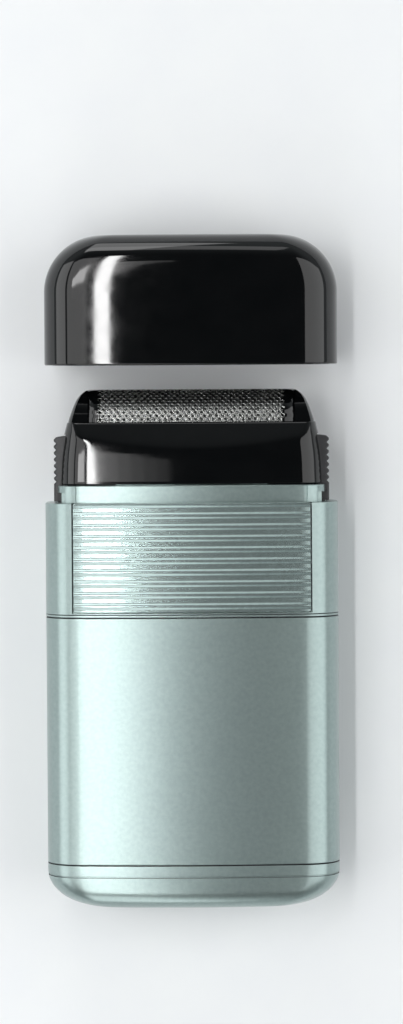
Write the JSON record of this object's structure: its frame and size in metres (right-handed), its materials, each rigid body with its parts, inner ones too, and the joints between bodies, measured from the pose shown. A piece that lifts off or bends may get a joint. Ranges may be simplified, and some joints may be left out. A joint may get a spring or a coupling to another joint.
{
  "type": "electric shaver",
  "caption": "Pocket foil shaver with a ribbed slide switch, a base cap over the battery, a lift-off cutting head and a pull-off cap.",
  "frame": {"origin": "below the middle of the shaver and the cap that lies beyond it, on the surface that they lie on", "axes": "+X across the body, +Y from the base to the head and the cap, +Z out of the front face, upwards"},
  "size_m": [0.054, 0.1238, 0.022],
  "materials": {
    "silver_paint": "satin metallic lacquer on moulded ABS",
    "black_gloss": "polished black ABS",
    "dark_plastic": "moulded dark grey ABS",
    "white_plastic": "natural acetal",
    "steel": "rolled and stamped steel",
    "foil_steel": "thin perforated steel",
    "brass": "stamped brass",
    "copper": "copper",
    "rubber": "moulded rubber",
    "lead_jacket": "PVC jacket",
    "cell_jacket": "metallised jacket, no print"
  },
  "bodies": {
    "body": {"lower_shell": "silver_paint", "waist_band": "silver_paint", "upper_shell": "silver_paint", "collar": "silver_paint", "chassis": "dark_plastic", "negative_strip": "brass", "positive_contact": "brass", "switch_contact": "brass", "motor_can": "steel", "motor_end_cap": "white_plastic", "motor_magnets": "dark_plastic", "motor_bush": "brass", "motor_brushes": "copper", "motor_screws": "steel", "motor_leads": "lead_jacket", "flexure_legs": "steel", "drive_seal": "rubber", "collar_screws": "steel"},
    "base": {"base_cap": "silver_paint", "base_gasket": "rubber", "cell_spring": "steel", "base_contact": "steel"},
    "battery": {"battery": "cell_jacket"},
    "switch": {"switch_plate": "silver_paint", "switch_slider": "dark_plastic", "switch_bridge": "brass", "plate_clip": "dark_plastic"},
    "rotor": {"motor_shaft": "steel", "armature": "copper", "eccentric": "white_plastic"},
    "oscillator": {"oscillator": "white_plastic", "drive_pin": "steel"},
    "blade_block": {"blade_carrier": "white_plastic", "inner_blades": "steel", "blade_spring": "steel"},
    "head": {"head_frame": "black_gloss", "foil": "foil_steel", "foil_holder": "dark_plastic", "button_springs": "steel"},
    "left_button": {"release_button_left": "black_gloss"},
    "right_button": {"release_button_right": "black_gloss"},
    "cap": {"cap": "black_gloss"}
  },
  "joints": [
    {"name": "head_lift", "type": "slide", "parent": "body", "child": "head", "axis": [0, 1, 0], "range_m": [0, 0.0225]},
    {"name": "cap_pull", "type": "slide", "parent": "head", "child": "cap", "axis": [0, 1, 0], "range_m": [-0.0252, 0]},
    {"name": "left_button_press", "type": "slide", "parent": "head", "child": "left_button", "axis": [1, 0, 0], "range_m": [0, 0.0008], "stiffness_N_per_m": 800, "springref_m": -0.0004, "deforming": ["button_springs"]},
    {"name": "right_button_press", "type": "slide", "parent": "head", "child": "right_button", "axis": [-1, 0, 0], "range_m": [0, 0.0008], "stiffness_N_per_m": 800, "springref_m": -0.0004, "deforming": ["button_springs"]},
    {"name": "switch_slide", "type": "slide", "parent": "body", "child": "switch", "axis": [0, 1, 0], "range_m": [0, 0.003]},
    {"name": "base_pull", "type": "slide", "parent": "body", "child": "base", "axis": [0, -1, 0], "range_m": [0, 0.062]},
    {"name": "battery_out", "type": "slide", "parent": "body", "child": "battery", "axis": [0, -1, 0], "range_m": [0, 0.0527]},
    {"name": "motor_spin", "type": "hinge", "parent": "body", "child": "rotor", "pos_m": [0.007, -0.00185, 0.011], "axis": [0, 1, 0], "continuous": true},
    {"name": "blade_stroke", "type": "slide", "parent": "body", "child": "oscillator", "axis": [1, 0, 0], "range_m": [-0.001, 0.001], "stiffness_N_per_m": 1000, "deforming": ["flexure_legs", "drive_seal"]},
    {"name": "blade_float", "type": "slide", "parent": "oscillator", "child": "blade_block", "axis": [0, -1, 0], "range_m": [0, 0.0008], "stiffness_N_per_m": 500, "springref_m": -0.0008, "deforming": ["blade_spring"]}
  ],
  "couplings": [
    {"joint": "battery_out", "follows": "base_pull", "ratio": 0.85}
  ]
}
